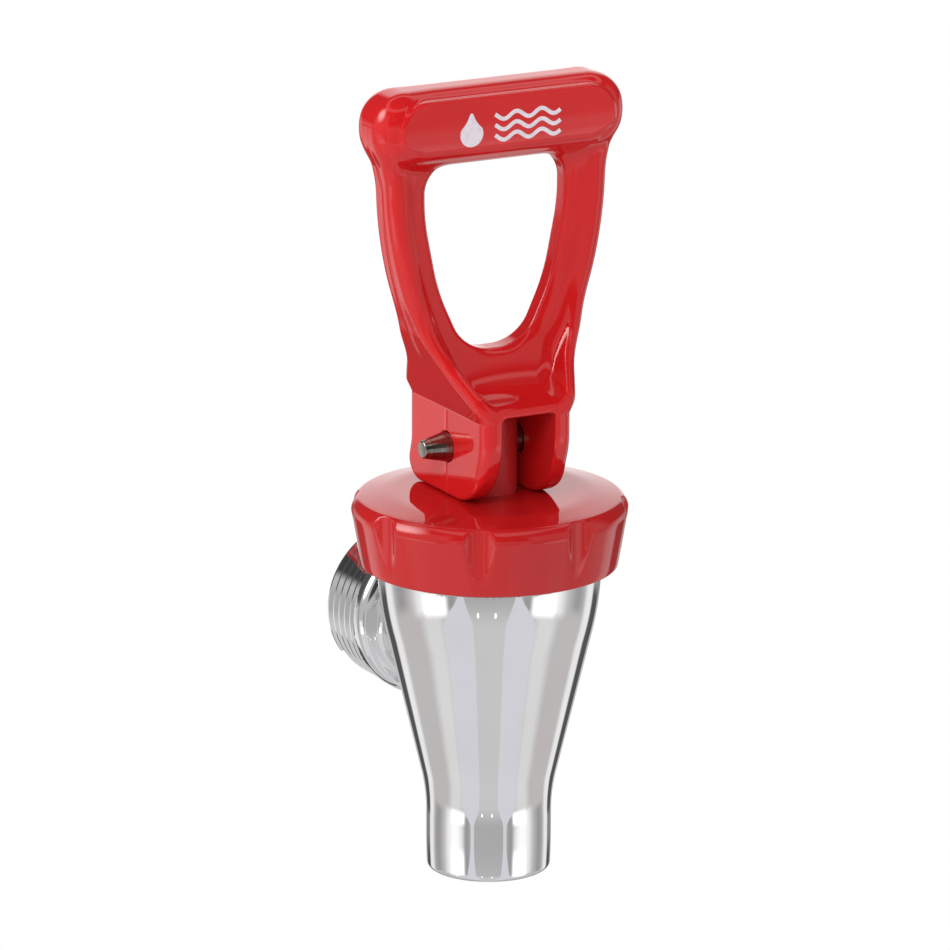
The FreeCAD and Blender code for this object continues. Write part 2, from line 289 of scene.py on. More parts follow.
glossRed = newMaterial("glossRed", moldedRed, leverLook)
gripRed = newMaterial("gripRed", moldedRed, gripLook)
satinRed = newMaterial("satinRed", moldedRed, stemLook)
chromePlate = newMaterial("chromePlate", platedChrome, chromeLook)
steel = newMaterial("turnedSteel", turnedSteel, steelLook)
siliconeRubber = newMaterial("siliconeRubber", palePlastic, rubberLook)
whiteNylon = newMaterial("whiteNylon", palePlastic, nylonLook)
signInk = newMaterial("signInk", printedInk, inkLook)
print("materials made")


def meshObject(name, points, faces, material, normals=None):
    mesh = bpy.data.meshes.new(name)
    mesh.from_pydata([tuple(point) for point in points], [], [tuple(face) for face in faces])
    mesh.polygons.foreach_set("use_smooth", np.ones(len(mesh.polygons), bool))
    mesh.materials.append(material)
    mesh.update()
    if normals is not None:
        mesh.normals_split_custom_set_from_vertices([tuple(normal) for normal in normals])
    made = bpy.data.objects.new(name, mesh)
    bpy.context.scene.collection.objects.link(made)
    return made


def settle(made, material=None):
    # Applies the modifiers for good and leaves a plain mesh.
    graph = bpy.context.evaluated_depsgraph_get()
    mesh = bpy.data.meshes.new_from_object(
        made.evaluated_get(graph), preserve_all_data_layers=True, depsgraph=graph)
    made.modifiers.clear()
    made.data = mesh
    mesh.name = made.name
    if material is not None:
        mesh.materials.clear()
        mesh.materials.append(material)
    return made


def smoothUnder(made, angle):
    made.data.shade_smooth()
    made.data.set_sharp_from_angle(angle=math.radians(angle))


def cutAway(made, cutter):
    modifier = made.modifiers.new("cut", "BOOLEAN")
    modifier.operation = "DIFFERENCE"
    modifier.solver = "EXACT"
    modifier.object = cutter
    settle(made)
    bpy.data.objects.remove(cutter)


def cornerArc(corners, index):
    # Tangent arc at one rounded corner of (a, b, rounding): its centre, and its two ends from there.
    here = np.array(corners[index][:2], float)
    back = np.array(corners[index - 1][:2], float) - here
    ahead = np.array(corners[(index + 1) % len(corners)][:2], float) - here
    back /= np.linalg.norm(back)
    ahead /= np.linalg.norm(ahead)
    half = math.acos(np.clip(back @ ahead, -1, 1)) / 2
    radius = corners[index][2]
    run = radius / math.tan(half)
    centre = here + (back + ahead) / np.linalg.norm(back + ahead) * radius / math.sin(half)
    return centre, here + back * run - centre, here + ahead * run - centre


def cornerPoints(corners, closed, step=0.22):
    # Points along the lines through corners, and round the arcs at them.
    points = []
    for index, (a, b, radius) in enumerate(corners):
        if radius == 0 or not closed and index in (0, len(corners) - 1):
            points.append(np.array([a, b], float))
            continue
        centre, start, end = cornerArc(corners, index)
        sweep = math.atan2(start[0] * end[1] - start[1] * end[0], start @ end)
        pieces = max(4, int(abs(sweep) * radius / step) + 1)
        for part in range(pieces + 1):
            turn = sweep * part / pieces
            cosine, sine = math.cos(turn), math.sin(turn)
            points.append(centre + [start[0] * cosine - start[1] * sine,
                                    start[0] * sine + start[1] * cosine])
    return np.array(points)


def subdivided(points, closed, longest):
    # Splits long straight runs so that faces stay compact.
    ends = np.roll(points, -1, axis=0) if closed else points[1:]
    result = []
    for start, end in zip(points, ends):
        pieces = max(1, int(np.linalg.norm(end - start) / longest))
        for part in range(pieces):
            result.append(start + (end - start) * part / pieces)
    if not closed:
        result.append(points[-1])
    return np.array(result)


def lathe(name, corners, material, columns=256, closed=False, longest=1.2, alongX=False, height=0.0):
    # Turns a profile of (radius, height, rounding) corners about the upright axis, or about X.
    profile = subdivided(cornerPoints(corners, closed), closed, longest)
    turns = np.linspace(0, 2 * math.pi, columns, endpoint=False)
    points = []
    rings = []
    for radius, level in profile:
        if radius < 1e-9:
            rings.append([len(points)])
            points.append((0, 0, level))
            continue
        rings.append(range(len(points), len(points) + columns))
        for turn in turns:
            points.append((radius * math.cos(turn), radius * math.sin(turn), level))
    faces = []
    last = len(rings) if closed else len(rings) - 1
    for index in range(last):
        low, high = rings[index], rings[(index + 1) % len(rings)]
        for column in range(columns):
            after = (column + 1) % columns
            if len(low) == 1:
                faces.append((low[0], high[after], high[column]))
            elif len(high) == 1:
                faces.append((low[column], low[after], high[0]))
            else:
                faces.append((low[column], low[after], high[after], high[column]))
    points = np.array(points, float)
    if alongX:
        points = np.column_stack([points[:, 2], points[:, 0], points[:, 1]])
        points[:, 2] += height
    made = meshObject(name, toFrame(points), faces, material)
    fixNormals(made)
    return made


def fixNormals(made):
    work = bmesh.new()
    work.from_mesh(made.data)
    bmesh.ops.recalc_face_normals(work, faces=work.faces)
    work.to_mesh(made.data)
    work.free()


def roundMax(a, b, radius):
    # Overlap of two solids' fields, with the edge between them rounded.
    over = np.hypot(np.maximum(a + radius, 0), np.maximum(b + radius, 0))
    return over + np.minimum(np.maximum(a, b) + radius, 0) - radius


def roundMin(a, b, radius):
    # Union of two solids' fields, with the corner between them filleted.
    return -roundMax(-a, -b, radius)


def fieldSlope(field, points, reach=0.002):
    slope = np.empty_like(points)
    for axis in range(3):
        step = np.zeros(3)
        step[axis] = reach
        slope[:, axis] = (field(*(points + step).T) - field(*(points - step).T)) / (2 * reach)
    return slope


def ontoSurface(field, points, limit, rounds=4):
    for _ in range(rounds):
        slope = fieldSlope(field, points)
        size = np.maximum((slope ** 2).sum(1), 1e-6)
        move = slope * (field(*points.T) / size)[:, None]
        length = np.linalg.norm(move, axis=1)
        move *= np.minimum(1, limit / np.maximum(length, 1e-9))[:, None]
        points = points - move
    return points


def carve(name, field, low, high, step, material, relax=3):
    # Meshes the surface where field is 0 (less inside) with one point in each cell that it crosses.
    axes = [np.arange(low[axis], high[axis] + step, step) for axis in range(3)]
    values = field(*np.meshgrid(*axes, indexing="ij"))
    inside = values < 0
    shape = np.array(inside.shape) - 1
    filled = np.zeros(shape, int)
    for corner in np.ndindex(2, 2, 2):
        filled += inside[tuple(slice(start, start + size) for start, size in zip(corner, shape))]
    active = (filled > 0) & (filled < 8)
    cells = np.argwhere(active)
    number = np.full(shape, -1)
    number[active] = np.arange(len(cells))
    total = np.zeros((len(cells), 3))
    hits = np.zeros(len(cells))
    units = np.eye(3, dtype=int)
    for axis in range(3):
        u, v = units[(axis + 1) % 3], units[(axis + 2) % 3]
        for shift in (0 * u, u, v, u + v):
            start = cells + shift
            end = start + units[axis]
            first, second = values[tuple(start.T)], values[tuple(end.T)]
            crossed = (first < 0) != (second < 0)
            part = np.where(crossed, first / np.where(crossed, first - second, 1), 0)
            total[crossed] += (start + part[:, None] * units[axis])[crossed]
            hits += crossed
    points = np.array(low, float) + step * total / hits[:, None]
    faces = []
    for axis in range(3):
        u, v = units[(axis + 1) % 3], units[(axis + 2) % 3]
        ahead = np.roll(inside, -1, axis)
        change = inside != ahead
        keep = [slice(1, size) for size in shape]
        keep[axis] = slice(0, shape[axis])
        mask = np.zeros_like(change)
        mask[tuple(keep)] = change[tuple(keep)]
        nodes = np.argwhere(mask)
        around = np.stack([number[tuple((nodes - shift).T)] for shift in (u + v, v, 0 * u, u)], axis=1)
        leaving = inside[tuple(nodes.T)]
        faces.append(np.where(leaving[:, None], around, around[:, ::-1]))
    faces = np.concatenate(faces)
    links = np.concatenate([faces[:, [0, 1]], faces[:, [1, 2]], faces[:, [2, 3]], faces[:, [3, 0]]])
    points = ontoSurface(field, points, step)
    for _ in range(relax):
        around = np.zeros_like(points)
        count = np.zeros(len(points))
        for first, second in ((0, 1), (1, 0)):
            np.add.at(around, links[:, first], points[links[:, second]])
            np.add.at(count, links[:, first], 1)
        points = ontoSurface(field, points + 0.5 * (around / count[:, None] - points), step, 3)
    slope = fieldSlope(field, points)
    normals = slope / np.linalg.norm(slope, axis=1)[:, None]
    return meshObject(name, toFrame(points), faces.tolist(), material, normals)


def smoothCurve(knots, startSlope, endSlope):
    # Cubic curve through (position, value) knots; gives its value and slope.
    xs, ys = np.array(knots, float).T
    gaps = np.diff(xs)
    steps = np.diff(ys) / gaps
    size = len(xs)
    matrix = np.eye(size)
    right = np.zeros(size)
    right[0], right[-1] = startSlope, endSlope
    for index in range(1, size - 1):
        matrix[index, index - 1] = gaps[index]
        matrix[index, index] = 2 * (gaps[index - 1] + gaps[index])
        matrix[index, index + 1] = gaps[index - 1]
        right[index] = 3 * (gaps[index] * steps[index - 1] + gaps[index - 1] * steps[index])
    slopes = np.linalg.solve(matrix, right)

    def curve(x):
        inside = np.clip(x, xs[0], xs[-1])
        index = np.clip(np.searchsorted(xs, inside, side="right") - 1, 0, size - 2)
        gap = gaps[index]
        part = (inside - xs[index]) / gap
        first, second = slopes[index] * gap, slopes[index + 1] * gap
        rise = ys[index + 1] - ys[index]
        b = 3 * rise - 2 * first - second
        c = first + second - 2 * rise
        value = ys[index] + part * (first + part * (b + part * c))
        slope = (first + part * (2 * b + 3 * part * c)) / gap
        slope = np.where((x < xs[0]) | (x > xs[-1]), 0, slope)
        return value, slope

    return curve


def loopField(corners):
    # Signed distance to a convex loop with rounded corners, listed anticlockwise; less than 0 inside.
    arcs = [cornerArc(corners, index) for index in range(len(corners))]

    def field(x, z):
        best = np.full(np.shape(x), 1e9)
        for before, after in zip(arcs, arcs[1:] + arcs[:1]):
            start = before[0] + before[2]
            along = after[0] + after[1] - start
            length = np.linalg.norm(along)
            along = along / length
            part = np.clip((x - start[0]) * along[0] + (z - start[1]) * along[1], 0, length)
            offX, offZ = x - start[0] - part * along[0], z - start[1] - part * along[1]
            side = np.where(offX * along[1] - offZ * along[0] > 0, 1.0, -1.0)
            value = side * np.hypot(offX, offZ)
            best = np.where(np.abs(value) < np.abs(best), value, best)
        for centre, first, last in arcs:
            offX, offZ = x - centre[0], z - centre[1]
            facing = (first[0] * offZ - first[1] * offX >= 0) & (offX * last[1] - offZ * last[0] >= 0)
            value = np.hypot(offX, offZ) - np.hypot(*first)
            best = np.where(facing & (np.abs(value) < np.abs(best)), value, best)
        return best

    return field


def stepUp(value, low, high):
    part = np.clip((value - low) / (high - low), 0, 1)
    return part * part * (3 - 2 * part)


# armHalfDepth, troughEdge, barRound and plateRound go from their first value to their second: up the
# arms, above the dish, towards the bar's ends and at the plate's lower edge.
lever = {
    "forkHalfWidth": 7.65,
    "forkHalfDepth": 12.6,
    "creaseHeight": 25.4,
    "creaseSlope": 0.48,
    "swell": [(8.0, 0.95), (10.8, 2.35), (14.3, 4.1), (17.4, 5.75), (20.0, 6.75), (23.0, 7.85),
              (33.2, 10.35), (38.5, 10.95), (42.5, 11.3), (44.1, 11.65), (45.7, 12.05), (47.3, 12.45)],
    "topSwell": 12.8,
    "partingRidge": (0.08, 0.28),
    "ridgeBreak": ((24.6, 25.6), (32, 36)),
    "camBase": 7.6,
    "camRate": 3.1831,
    "heelShoulder": 4.0,
    "heelBlend": 1.6,
    "heelRound": 0.6,
    "heelTop": (13.5, 18.5),
    "rampStart": 27.9,
    "rampEnd": 36.6,
    "rampBlend": 4.0,
    "armHalfDepth": (3.9, 3.2),
    "edgeRound": 2.0,
    "bead": 2.1,
    "beadRound": 2.0,
    "webHalf": 1.8,
    "troughSlant": 0.32,
    "troughTop": 64.8,
    "troughEdge": (0.35, 0.8),
    "troughEdgeRise": (29, 36),
    "dishRadius": 11.0,
    "dishCentre": (12.0, 38.3),
    "dishBlend": 1.5,
    "windowRound": 1.3,
    "slotHalfWidth": 4.5,
    "slotTop": 26.0,
    "slotRound": (0.8, 0.6),
    "barHalf": (21.27, 6.0, 5.9),
    "barSetBack": 0.4,
    "barRound": (4.5, 4.0),
    "barRoundRun": (11, 19),
    "endFullness": 2.2,
    "barFillet": 1.0,
    "plateHalf": (18.4, 4.8),
    "plateBulge": 0.3,
    "plateRound": (0.6, 2.2),
    "plateRoundDrop": (1, 3),
    "plateFillet": 0.4,
    "pinHole": 2.4,
    "pinHoleEdge": 0.15,
    "grid": ((-22.3, -13.4, 10.9), (22.3, 13.4, 76.6)),
    "cell": 0.36,
}


def between(pair, part):
    return pair[0] + (pair[1] - pair[0]) * part


def plateFace(height):
    # How far out the bar's slightly crowned plate stands at a height.
    return lever["barHalf"][1] - lever["plateBulge"] * ((height - barHeight) / lever["plateHalf"][1]) ** 2


def leverSides(y, z):
    # Outline seen from the side: the cam heel, the ramps and the slim arms.
    deep = np.abs(y)
    far = np.hypot(y, z - pinHeight)
    turn = np.arctan2(-y, pinHeight - z)
    turn = turn - np.arcsin(np.clip(lever["camRate"] / np.maximum(far, 1e-6), -1, 1))
    turn = np.clip(turn, 0, math.pi / 2)
    heel = -y * np.sin(turn) + (pinHeight - z) * np.cos(turn) - lever["camBase"] - lever["camRate"] * turn
    heel = roundMax(heel, y - lever["forkHalfDepth"], lever["heelShoulder"])
    ramp = (deep + z - lever["forkHalfDepth"] - lever["rampStart"]) / math.sqrt(2)
    arm = deep - between(lever["armHalfDepth"], (z - lever["rampEnd"]) / (barHeight - lever["rampEnd"]))
    return roundMax(roundMin(ramp, arm, lever["rampBlend"]), heel, lever["heelBlend"])


def leverHollows(rim, window, deep, z):
    # Troughs down both arms fall from the outer bead to a thin edge at the window, and meet in a dish.
    slant = lever["troughSlant"]
    trough = (lever["webHalf"] + slant * np.maximum(window, 0) - deep) / math.sqrt(1 + slant ** 2)
    trough = roundMax(trough, lever["bead"] + rim, lever["beadRound"])
    trough = roundMax(trough, z - lever["troughTop"], lever["beadRound"])
    dishAcross, dishUp = lever["dishCentre"]
    dish = np.hypot(deep - dishAcross, np.minimum(z - dishUp, 0)) - lever["dishRadius"]
    return roundMax(trough, dish, lever["dishBlend"])


def leverBar(across, deep, z):
    # The bar, rounder towards its ends, with a flat plate in front and behind.
    length, half, height = lever["barHalf"]
    full = lever["endFullness"]
    outward = np.maximum(across - length + height, 0)
    cap = (outward ** full + np.abs(z - barHeight) ** full) ** (1 / full) - height
    edge = between(lever["barRound"], stepUp(across, *lever["barRoundRun"]))
    bar = roundMax(cap, deep - half + lever["barSetBack"], edge)
    plateLength, plateHeight = lever["plateHalf"]
    plate = np.hypot(np.maximum(across - plateLength + plateHeight, 0), z - barHeight) - plateHeight
    edge = between(lever["plateRound"], stepUp(barHeight - z, *lever["plateRoundDrop"]))
    plate = roundMax(plate, deep - plateFace(z), edge)
    return roundMin(bar, plate, lever["plateFillet"])


def leverField(x, y, z):
    across, deep = np.abs(x), np.abs(y)
    width, slope = leverOutline(z)
    # The mould's parting line stands out a little, with a break above the crease
    rise, spread = lever["partingRidge"]
    breakLow, breakHigh = lever["ridgeBreak"]
    ridge = rise * np.exp(-(y / spread) ** 2) * (1 + stepUp(z, *breakHigh) - stepUp(z, *breakLow))
    rim = (across - width - ridge) / np.sqrt(1 + slope ** 2)
    edge = between((lever["heelRound"], lever["edgeRound"]), stepUp(z, *lever["heelTop"]))
    form = roundMax(rim, leverSides(y, z), edge)
    window = leverWindow(x, z)
    hollows = leverHollows(rim, window, deep, z)
    form = roundMax(form, -hollows, between(lever["troughEdge"], stepUp(z, *lever["troughEdgeRise"])))
    form = roundMax(form, -window, lever["windowRound"])
    form = np.maximum(form, z - barHeight)
    form = roundMin(form, leverBar(across, deep, z), lever["barFillet"])
    # Slot for the stem, and the pin's hole
    slotCorner, slotEdge = lever["slotRound"]
    slot = roundMax(across - lever["slotHalfWidth"], z - lever["slotTop"], slotCorner)
    form = roundMax(form, -slot, slotEdge)
    hole = np.hypot(y, z - pinHeight) - lever["pinHole"]
    return roundMax(form, -hole, lever["pinHoleEdge"])


leverOutline = smoothCurve(
    [(lever["creaseHeight"], lever["forkHalfWidth"])]
    + [(pinHeight + rise, lever["forkHalfWidth"] + swell) for rise, swell in lever["swell"]]
    + [(barHeight, lever["forkHalfWidth"] + lever["topSwell"])],
    lever["creaseSlope"], 0.0)
# The window's right side, from its foot up: place across, height and rounding of each corner
windowSide = [(5.1, 34.3, 7.0), (9.7, 44.2, 30.0), (12.0, 55.5, 30.0), (12.05, 63.85, 4.4)]
leverWindow = loopField(windowSide + [(-across, up, radius) for across, up, radius in reversed(windowSide)])
handle = carve("handleLever", leverField, *lever["grid"], lever["cell"], glossRed)
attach(handle, "lever")
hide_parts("handle")
print("lever", len(handle.data.polygons), "faces")


body = {
    "skinRadius": 17.2,
    "taperTop": -5.3,
    "spoutRadius": 9.68,
    "taperFoot": -36.4,
    "shoulderBlend": 1.3,
    "spoutBlend": 0.8,
    "rimHeight": -0.5,
    "rimRound": 0.3,
    "outlet": -48.75,
    "outletRound": 0.8,
    "outletDraw": 0.15,
    "drawHeight": 5.5,
    "lipRadius": 16.55,
    "lipHeight": 6.2,
    "lipFoot": -1.0,
    "wall": 2.6,
    "chamberRadius": 14.25,
    "seatRadius": 5.6,
    "seatDepth": -29.6,
    "seatLand": 2.4,
    "boreRadius": 7.4,
    "neckRoot": 8.7,
    "neckSlope": 0.156,
    "neckStart": 7.1,
    "neckEnd": 19.9,
    "neckFillet": 1.4,
    "collarRadius": 12.9,
    "collarFront": 17.2,
    "collarBack": 20.8,
    "collarRound": (2.0, 0.45),
    "collarFillet": 1.3,
    "coreRadius": 11.7,
    "coreStart": 19.6,
    "coreRound": 0.8,
    "shankEnd": 29.8,
    "inletRadius": 8.2,
    "portRadius": 7.2,
    "portEnd": 17.6,
    "innerEdge": 0.3,
    "grid": ((-18.0, -18.0, -49.6), (18.0, 30.6, 7.2)),
    "cell": 0.45,
}


def softLess(a, b, blend):
    part = np.maximum(1 - np.abs(a - b) / blend, 0)
    return np.minimum(a, b) - blend / 4 * part * part


def taperRadius(z):
    slope = (body["skinRadius"] - body["spoutRadius"]) / (body["taperTop"] - body["taperFoot"])
    return body["spoutRadius"] + (z - body["taperFoot"]) * slope


def bodyShell(radius, z):
    # Turned outside: shoulder, taper and spout, which draws in at its foot, and the lip in the bonnet.
    skin = softLess(taperRadius(z), body["skinRadius"], body["shoulderBlend"])
    skin = -softLess(-skin, -body["spoutRadius"], body["spoutBlend"])
    drawn = np.clip((body["outlet"] + body["drawHeight"] - z) / body["drawHeight"], 0, 1)
    skin = skin - body["outletDraw"] * drawn ** 2
    shell = roundMax(radius - skin, body["outlet"] - z, body["outletRound"])
    shell = roundMax(shell, z - body["rimHeight"], body["rimRound"])
    lip = np.maximum(np.maximum(radius - body["lipRadius"], z - body["lipHeight"]), body["lipFoot"] - z)
    return np.minimum(shell, lip)


def bodyShank(around, y):
    # Neck, collar and the core that carries the thread, one behind the other.
    neck = around - body["neckRoot"] - (y - body["neckStart"]) * body["neckSlope"]
    neck = np.maximum(np.maximum(neck, y - body["neckEnd"]), -y)
    frontRound, backRound = body["collarRound"]
    collar = roundMax(around - body["collarRadius"], body["collarFront"] - y, frontRound)
    collar = roundMax(collar, y - body["collarBack"], backRound)
    core = np.maximum(around - body["coreRadius"], body["coreStart"] - y)
    core = roundMax(core, y - body["shankEnd"], body["coreRound"])
    return np.minimum(roundMin(neck, collar, body["collarFillet"]), core)


def bodyHollow(radius, around, y, z):
    # Chamber over the seat, bore under it, and the passage in from the shank.
    chamber = radius - np.minimum(body["chamberRadius"], taperRadius(z) - body["wall"])
    chamber = np.maximum(chamber, body["seatDepth"] - z)
    widening = body["seatRadius"] + body["seatDepth"] - body["seatLand"] - z
    bore = radius - np.clip(widening, body["seatRadius"], body["boreRadius"])
    chamber = np.minimum(chamber, np.maximum(bore, z - body["seatDepth"] - 1))
    inlet = np.maximum(around - body["inletRadius"], body["portEnd"] - y)
    port = np.maximum(around - body["portRadius"], -y)
    return np.minimum(chamber, np.minimum(inlet, port))


def bodyField(x, y, z):
    radius = np.hypot(x, y)
    around = np.hypot(x, z + shankDrop)
    solid = roundMin(bodyShell(radius, z), bodyShank(around, y), body["neckFillet"])
    return roundMax(solid, -bodyHollow(radius, around, y, z), body["innerEdge"])


shell = carve("faucetBody", bodyField, *body["grid"], body["cell"], chromePlate)
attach(shell, "tap")
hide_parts("faucet_body")
print("body", len(shell.data.polygons), "faces")


def newGeometryTree(name, sizes, takesMesh):
    tree = bpy.data.node_groups.new(name, "GeometryNodeTree")
    if takesMesh:
        tree.interface.new_socket(name="Geometry", in_out="INPUT", socket_type="NodeSocketGeometry")
    for label, value in sizes.items():
        kind = "NodeSocketInt" if isinstance(value, int) else "NodeSocketFloat"
        tree.interface.new_socket(name=label, in_out="INPUT", socket_type=kind)
    tree.interface.new_socket(name="Geometry", in_out="OUTPUT", socket_type="NodeSocketGeometry")
    return tree, tree.nodes.new("NodeGroupInput")


def endTree(tree, geometry, material):
    real = node(tree, "GeometryNodeRealizeInstances", {"Geometry": geometry})
    dressed = node(tree, "GeometryNodeSetMaterial", {"Geometry": real.outputs[0], "Material": material})
    output = tree.nodes.new("NodeGroupOutput")
    tree.links.new(dressed.outputs[0], output.inputs[0])


def runTree(made, tree, sizes, material):
    modifier = made.modifiers.new(tree.name, "NODES")
    modifier.node_group = tree
    for item in tree.interface.items_tree:
        if item.in_out == "INPUT" and item.name in sizes:
            modifier[item.identifier] = sizes[item.name]
    return settle(made, material)


thread = {
    "Root Radius": 11.6 * mm,
    "Crest Height": 1.1 * mm,
    "Foot Half Width": 0.84 * mm,
    "Crest Half Width": 0.16 * mm,
    "Turns": 4.6,
    "Pitch": 1.814 * mm,
    "Start": -3.85 * mm,
    "Fade": 0.06,
    "Faded Size": 0.35,
    "Points a Turn": 96,
}


def threadTree():
    tree, sizes = newGeometryTree("shankThread", thread, False)
    out = sizes.outputs
    length = times(tree, out["Turns"], out["Pitch"])
    spiral = node(tree, "GeometryNodeCurveSpiral", {
        "Resolution": out["Points a Turn"], "Rotations": out["Turns"], "Height": length,
        "Start Radius": out["Root Radius"], "End Radius": out["Root Radius"],
    })
    # The ridge fades in and out at the thread's ends
    place = node(tree, "GeometryNodeSplineParameter").outputs["Factor"]
    ends = maths(tree, "MINIMUM", place, minus(tree, 1.0, place))
    fade = node(tree, "ShaderNodeMapRange", {
        "Value": ends, "From Max": out["Fade"], "To Min": out["Faded Size"]})
    sized = node(tree, "GeometryNodeSetCurveRadius", {"Curve": spiral.outputs[0], "Radius": fade.outputs[0]})
    upright = node(tree, "GeometryNodeSetCurveNormal", {"Curve": sized.outputs[0]})
    upright.mode = "Z_UP"
    # Profile of one ridge: both corners of its foot, then both of its crest
    foot, crest = out["Foot Half Width"], out["Crest Half Width"]
    outward = times(tree, out["Crest Height"], -1.0)
    corners = {}
    for point, across, rise, side in ((1, foot, 0.0, 1.0), (2, foot, 0.0, -1.0),
                                      (3, crest, outward, -1.0), (4, crest, outward, 1.0)):
        corner = node(tree, "ShaderNodeCombineXYZ", {"X": rise, "Y": times(tree, across, side)})
        corners["Point %d" % point] = corner.outputs[0]
    profile = node(tree, "GeometryNodeCurvePrimitiveQuadrilateral", corners, mode="POINTS")
    ridge = node(tree, "GeometryNodeCurveToMesh", {
        "Curve": upright.outputs[0], "Profile Curve": profile.outputs[0], "Fill Caps": True})
    start = node(tree, "ShaderNodeCombineXYZ", {"Y": out["Start"]})
    turned = node(tree, "GeometryNodeTransform", {
        "Geometry": ridge.outputs[0], "Translation": start.outputs[0], "Rotation": (-math.pi / 2, 0, 0)})
    endTree(tree, turned.outputs[0], chromePlate)
    return tree


ridge = meshObject("shankThread", [], [], chromePlate)
runTree(ridge, threadTree(), thread, chromePlate)
# The last turn is cut off just inside the shank's end face
endGap = 0.01
endFace = (body["shankEnd"] - spoutReach - endGap) * mm
for vertex in ridge.data.vertices:
    vertex.co.y = min(vertex.co.y, endFace)
fixNormals(ridge)
smoothUnder(ridge, 28)
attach(ridge, "tap")
crests = [math.hypot(vertex.co.x, vertex.co.z) for vertex in ridge.data.vertices]
print("thread", len(ridge.data.polygons), "faces, radius", min(crests), max(crests))


bonnet = {
    "Notches": 8,
    "First Notch": math.radians(12.2),
    "Notch Radius": 3.35 * mm,
    "Notch Reach": 23.45 * mm,
    "Edge Softness": 0.32 * mm,
    "Run Off": 4.0,
}
# Corners of a turned profile are (radius, height, rounding)
bonnetProfile = [
    (16.6, 0.8, 0), (17.45, 0.8, 0.1), (17.45, 0, 0.3), (19.75, 0, 0.35), (21.4, 9.2, 2.2),
    (20.3, 10.75, 1.2), (15.5, bonnetTop, 14.0), (4.28, bonnetTop, 0.3), (4.28, 9.0, 0.3),
    (16.85, 9.0, 0.3), (16.85, 6.2, 0), (16.6, 6.2, 0),
]


def notchTree():
    # Pulls the grip in to the wall of each upright notch, with a soft edge.
    tree, sizes = newGeometryTree("gripNotches", bonnet, True)
    out = sizes.outputs
    position = node(tree, "GeometryNodeInputPosition").outputs[0]
    place = node(tree, "ShaderNodeSeparateXYZ", {"Vector": position})
    x = place.outputs["X"]
    y = plus(tree, place.outputs["Y"], spoutReach * mm)
    squares = plus(tree, times(tree, x, x), times(tree, y, y))
    radius = maths(tree, "SQRT", squares)
    turn = maths(tree, "ARCTAN2", x, times(tree, y, -1.0))
    spacing = maths(tree, "DIVIDE", 2 * math.pi, out["Notches"])
    half = times(tree, spacing, 0.5)
    shifted = plus(tree, minus(tree, turn, out["First Notch"]), half)
    wrapped = minus(tree, maths(tree, "FLOORED_MODULO", shifted, spacing), half)
    sideways = times(tree, maths(tree, "SINE", wrapped), out["Notch Reach"])
    notch = out["Notch Radius"]
    inside = minus(tree, times(tree, notch, notch), times(tree, sideways, sideways))
    chord = maths(tree, "SQRT", maths(tree, "MAXIMUM", inside, 0.0))
    reach = times(tree, maths(tree, "COSINE", wrapped), out["Notch Reach"])
    wall = minus(tree, reach, chord)
    # Past the notch's edge its wall runs off outwards
    missed = maths(tree, "MAXIMUM", times(tree, inside, -1.0), 0.0)
    wall = plus(tree, wall, times(tree, maths(tree, "SQRT", missed), out["Run Off"]))
    fitted = maths(tree, "SMOOTH_MIN", radius, wall, out["Edge Softness"])
    scale = maths(tree, "DIVIDE", fitted, radius)
    moved = node(tree, "ShaderNodeCombineXYZ", {
        "X": times(tree, x, scale),
        "Y": minus(tree, times(tree, y, scale), spoutReach * mm),
        "Z": place.outputs["Z"],
    })
    placed = node(tree, "GeometryNodeSetPosition", {
        "Geometry": out["Geometry"], "Position": moved.outputs[0]})
    endTree(tree, placed.outputs[0], gripRed)
    return tree


cap = lathe("gripBonnet", bonnetProfile, gripRed, columns=480, closed=True, longest=0.8)
runTree(cap, notchTree(), bonnet, gripRed)
smoothUnder(cap, 40)
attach(cap, "tap")
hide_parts("bonnet")
print("bonnet", len(cap.data.polygons), "faces")


stemProfile = [
    (0, 24.2, 0), (4.2, 24.2, 1.4), (4.2, -8.0, 0), (6.6, -8.0, 0.3), (6.6, -9.6, 0.3), (3.2, -9.6, 0),
    (3.2, -19.0, 0), (4.6, -19.0, 0.3), (4.6, -21.5, 0.8), (0, -21.5, 0),
]
drillProfile = [(0, -6, 0), (2.4, -6, 0), (2.4, 6, 0), (0, 6, 0)]
pinProfile = [(0, -11.85, 0), (1.35, -11.85, 0.35), (2.35, -7.65, 0), (2.35, 7.65, 0.2), (0, 7.65, 0)]

rod = lathe("liftStem", stemProfile, satinRed, columns=128)
cutAway(rod, lathe("stemDrill", drillProfile, satinRed, columns=64, alongX=True, height=pinHeight))
smoothUnder(rod, 35)
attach(rod, "stem")
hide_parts("stem")

pin = lathe("crossPin", pinProfile, steel, columns=96, alongX=True, height=pinHeight)
smoothUnder(pin, 35)
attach(pin, "lever")
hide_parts("handle_pin")
print("stem and pin made")


carriedOver = {
    "friction_ring": whiteNylon, "spring_washer": whiteNylon, "seat_cup": siliconeRubber, "spring": steel,
}
for name, material in carriedOver.items():
    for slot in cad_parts[name].material_slots:
        slot.material = material


# The return spring and the seat cup are merged copies of their CAD nodes, carried by the tap. Each fixedEnd
# is a height in millimetres above the shank's axis.
softPieces = [
    {"name": "coilSpring", "node": "spring", "fixedEnd": 22.15, "slot": "steel_wire", "look": steel},
    {"name": "siliconeCup", "node": "seat_cup", "fixedEnd": 21.2, "slot": "clear_rubber",
     "look": siliconeRubber},
]

